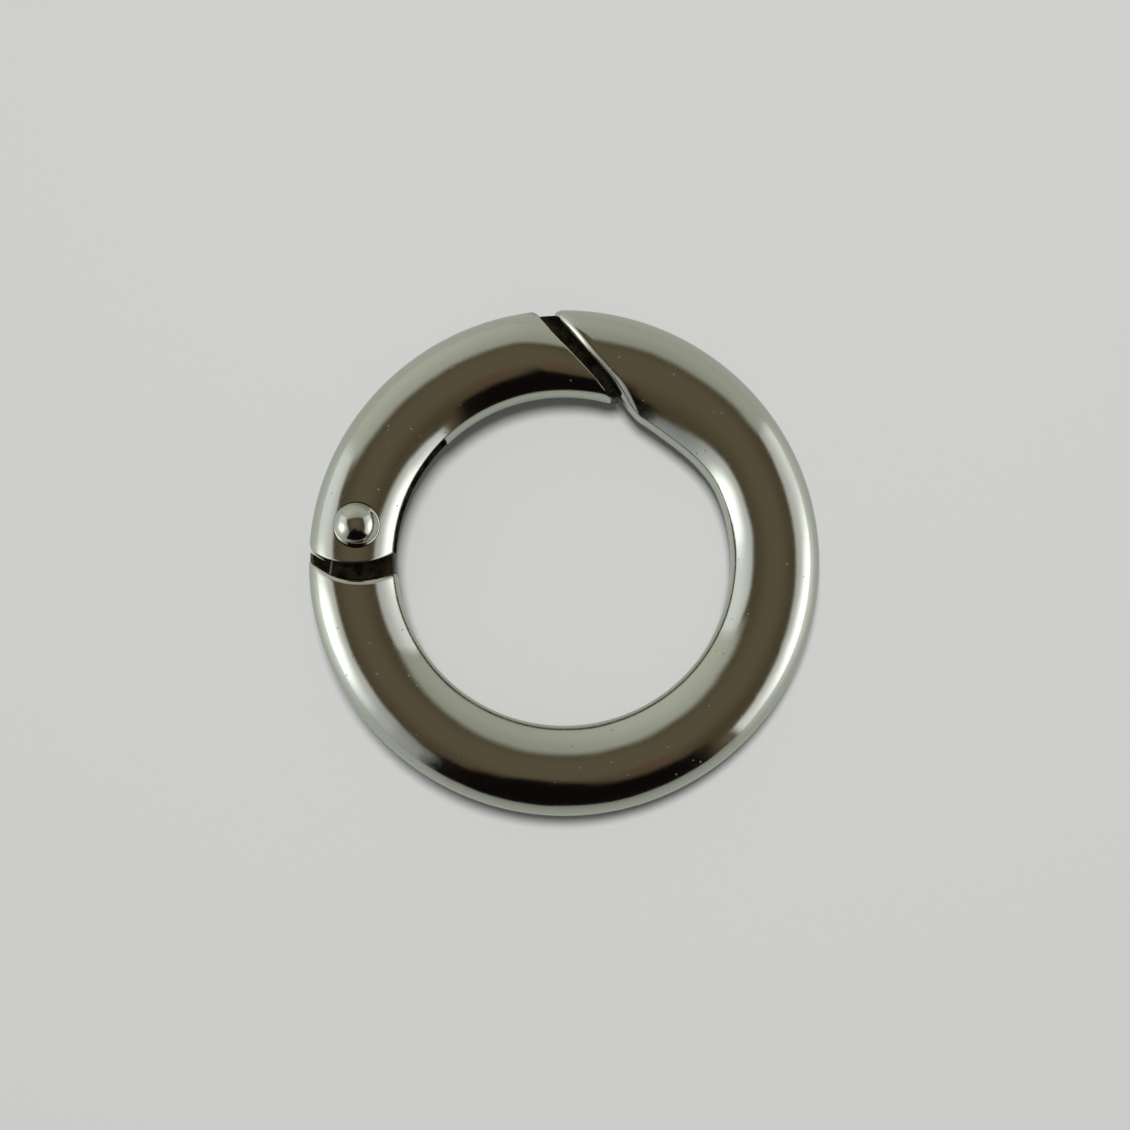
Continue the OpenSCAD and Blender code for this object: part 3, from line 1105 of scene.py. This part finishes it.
toward = Vector((0, -math.sin(LEAN), math.cos(LEAN)))
upward = Vector((0, math.cos(LEAN), math.sin(LEAN)))
camera_data = bpy.data.cameras.new("camera")
camera_data.lens, camera_data.sensor_width = FOCAL_LENGTH, SENSOR_WIDTH
camera_data.clip_start = NEAREST
camera = new_object("camera", camera_data)
camera.location = CAMERA_DISTANCE * toward + Vector((CAMERA_RIGHT, 0, 0)) - CAMERA_DOWN * upward
camera.rotation_euler = (LEAN, 0, 0)
bpy.context.scene.camera = camera
print("camera at", [round(c / MM, 1) for c in camera.location], "mm")

# %% [markdown]
# ## Table
# The ring lies on a pale table, matt to the camera. In reflections it is a darker, greener and
# slightly glossy table: a painted reflection colour. It touches at the lower rivet head and at the far
# side of the ring, so the table is tipped a little in the ring's own frame. The CAD part stays
# level, because it is never moved.

# %% How the table is tipped
SLOPE_ROUNDS = 20


def section_depth(tip):
    """How far the section reaches down when it is tipped by an angle."""
    return SUPPORT_MEAN - SUPPORT_SWING * math.cos(2 * tip)


def touching_slope():
    tip = 0.0
    for _ in range(SLOPE_ROUNDS):
        lift = DOME_HEIGHT * math.cos(tip) + HEAD_RADIUS - section_depth(tip)
        tip = math.asin(lift / (MEAN_RADIUS + PIVOT_RADIUS))
    return tip, MEAN_RADIUS * math.sin(tip) + section_depth(tip)


slope, drop_mm = touching_slope()
rise = polar(1, HINGE_TURN - 180)
table_normal = Vector((-math.sin(slope) * rise[0], -math.sin(slope) * rise[1], math.cos(slope)))
print("table slope", round(math.degrees(slope), 2), "degrees,", round(drop_mm, 2), "mm below the centre")


# %% Table
TABLE_HALF = 1.5
TABLE_COLOUR, TABLE_ROUGH = (0.60, 0.60, 0.588, 1), 0.9
# Reflections see the table darker and greener than the camera does: a painted reflection colour.
MIRRORED_COLOUR, MIRRORED_ROUGH, MIRRORED_IOR = (0.42, 0.48, 0.455, 1), 0.32, 1.8


def seen_by_glossy_rays(tree, plain, mirrored, output):
    """Wire two shaders to an output: reflections see the second, everything else the first."""
    ray, mix = tree.nodes.new("ShaderNodeLightPath"), tree.nodes.new("ShaderNodeMixShader")
    tree.links.new(ray.outputs["Is Glossy Ray"], mix.inputs[0])
    tree.links.new(plain.outputs[0], mix.inputs[1])
    tree.links.new(mirrored.outputs[0], mix.inputs[2])
    tree.links.new(mix.outputs[0], output.inputs["Surface"])


def table_finish():
    material = bpy.data.materials.new("table")
    material.use_nodes = True
    tree = material.node_tree
    matt = tree.nodes["Principled BSDF"]
    matt.inputs["Base Color"].default_value = TABLE_COLOUR
    matt.inputs["Roughness"].default_value = TABLE_ROUGH
    matt.inputs["Specular IOR Level"].default_value = 0.0
    mirrored = tree.nodes.new("ShaderNodeBsdfPrincipled")
    mirrored.inputs["Base Color"].default_value = MIRRORED_COLOUR
    mirrored.inputs["Roughness"].default_value = MIRRORED_ROUGH
    mirrored.inputs["IOR"].default_value = MIRRORED_IOR
    seen_by_glossy_rays(tree, matt, mirrored, tree.nodes["Material Output"])
    return material


turn_table = table_normal.to_track_quat("Z", "Y").to_matrix()
table_centre = -drop_mm * MM * table_normal
table_corners = [table_centre + turn_table @ Vector((x * TABLE_HALF, y * TABLE_HALF, 0))
                 for x, y in ((-1, -1), (1, -1), (1, 1), (-1, 1))]
table_mesh = bpy.data.meshes.new("table")
table_mesh.from_pydata(table_corners, [], [(0, 1, 2, 3)])
table_mesh.materials.append(table_finish())
table = new_object("table", table_mesh)
print("table is", 2 * TABLE_HALF, "m wide")

# %% [markdown]
# ## Lamp and studio
# The table gets its light from a round lamp overhead and a pale sky. A mirror finish shows its
# surroundings instead, and real boards round the ring would shade the table. So the sky that
# reflections see is a plain studio: a soft box on each side, a grey wall behind, a dim warm
# ceiling, and darkness with two small warm cards in front.

# %% Lamp
LAMP_PLACE, LAMP_SIZE, LAMP_POWER = (-0.015, 0.08, 0.6), 0.17, 3.15

lamp_data = bpy.data.lights.new("overhead_lamp", "AREA")
lamp_data.shape, lamp_data.size = "DISK", LAMP_SIZE
lamp_data.energy = LAMP_POWER
lamp = new_object("overhead_lamp", lamp_data)
lamp.location = LAMP_PLACE
lamp.rotation_euler = (-lamp.location).to_track_quat("-Z", "Y").to_euler()
lamp.visible_glossy = False
print("lamp of", LAMP_POWER, "W at", LAMP_PLACE)


# %% Studio in the sky that reflections see: turns and heights in degrees
CEILING_LOW, CEILING_HIGH = (0.085, 0.072, 0.042), (0.13, 0.114, 0.078)
WALL = (0.455, 0.515, 0.465)
RIGHT_BOX, LEFT_BOX = (0.90, 1.0, 1.03), (0.88, 1.0, 1.03)
WARM_CARD, DARKNESS = (0.13, 0.075, 0.05), (0.004, 0.003, 0.003)


def studio(tree):
    do = partial(wire_up, tree)
    where = tree.nodes.new("ShaderNodeTexCoord")
    split = tree.nodes.new("ShaderNodeSeparateXYZ")
    tree.links.new(where.outputs["Generated"], split.inputs[0])
    x, y, z = split.outputs
    turn, height = do("DEGREES", do("ARCTAN2", y, x)), do("DEGREES", do("ARCSINE", z))

    def away(middle):
        return do("WRAP", do("SUBTRACT", turn, middle), 180.0, -180.0)

    def board(middle, before, after, slope, soft_top, soft_side=2.0):
        """An upright board: its top edge falls away to both sides as perspective has it."""
        d = away(middle)
        top = do("DEGREES", do("ARCTANGENT", do("MULTIPLY", do("COSINE", do("RADIANS", d)), slope)))
        under_top = ramp(tree, do("SUBTRACT", height, top), soft_top, -soft_top)
        starts = ramp(tree, d, -before - soft_side, -before + soft_side)
        ends = ramp(tree, d, after + soft_side, after - soft_side)
        return do("MULTIPLY", do("MULTIPLY", starts, ends), under_top)

    def spot(middle, centre, wide, high, power):
        """A soft oval patch."""
        d, e = do("DIVIDE", away(middle), wide), do("DIVIDE", do("SUBTRACT", height, centre), high)
        distance = do("SQRT", do("ADD", do("MULTIPLY", d, d), do("MULTIPLY", e, e)))
        return ramp(tree, distance, 1.0, 0.3, to_high=power)

    def scaled(colour, amount):
        node = tree.nodes.new("ShaderNodeVectorMath")
        node.operation = "SCALE"
        node.inputs[0].default_value = colour
        tree.links.new(amount, node.inputs["Scale"])
        return node.outputs[0]

    def over(below, above, share):
        node = tree.nodes.new("ShaderNodeMix")
        node.data_type = "RGBA"
        tree.links.new(share, node.inputs["Factor"])
        for value, name in ((below, "A"), (above, "B")):
            if isinstance(value, tuple):
                node.inputs[name].default_value = (*value, 1)
            else:
                tree.links.new(value, node.inputs[name])
        return node.outputs["Result"]

    look = mix_colour(tree, ramp(tree, height, 48, 80), CEILING_LOW, CEILING_HIGH)
    wall_fade = ramp(tree, height, 58, 15, 0.80, 1.0)
    wall = do("MULTIPLY", ramp(tree, away(90), -20, 35, 0.94, 1.16), wall_fade)
    wall_board = board(middle=97, before=55, after=50, slope=1.62, soft_top=7.0)
    look = over(look, scaled(WALL, wall), wall_board)

    right_glow = spot(middle=-4, centre=5, wide=32, high=32, power=1.0)
    right = do("ADD", ramp(tree, height, 44, 8, 0.60, 1.02), right_glow)
    right_board = board(middle=18, before=58, after=23, slope=0.99, soft_top=4.0)
    look = over(look, scaled(RIGHT_BOX, right), right_board)

    left_glow = spot(middle=190, centre=12, wide=24, high=30, power=1.0)
    left_fade = ramp(tree, height, 44, 18, 0.68, 0.96)
    left = do("MULTIPLY", ramp(tree, away(200), 0, 26, 1.0, 0.42), left_fade)
    left_board = board(middle=190, before=44, after=42, slope=1.08, soft_top=4.0)
    look = over(look, scaled(LEFT_BOX, do("ADD", left, left_glow)), left_board)

    left_card = spot(middle=243, centre=48, wide=8, high=14, power=0.8)
    right_card = spot(middle=300, centre=66, wide=16, high=9, power=0.8)
    look = over(look, WARM_CARD, do("MAXIMUM", left_card, right_card))
    front_board = board(middle=270, before=38, after=42, slope=1.4, soft_top=6.0)
    front_shade = spot(middle=264, centre=38, wide=30, high=36, power=3.0)
    return over(look, DARKNESS, do("MINIMUM", do("MAXIMUM", front_board, front_shade), 1.0))


# %% Sky
SKY_COLOUR = (0.2, 0.2, 0.198, 1)

world = bpy.data.worlds.new("sky")
bpy.context.scene.world = world
world.use_nodes = True
sky_tree = world.node_tree
pale = sky_tree.nodes["Background"]
pale.inputs["Color"].default_value = SKY_COLOUR
reflected = sky_tree.nodes.new("ShaderNodeBackground")
sky_tree.links.new(studio(sky_tree), reflected.inputs["Color"])
seen_by_glossy_rays(sky_tree, pale, reflected, sky_tree.nodes["World Output"])
print("sky has", len(sky_tree.nodes), "nodes")

# %% [markdown]
# ## View transform
# The view transform stays plain.

# %% Plain view transform
bpy.context.scene.view_settings.view_transform = "Standard"
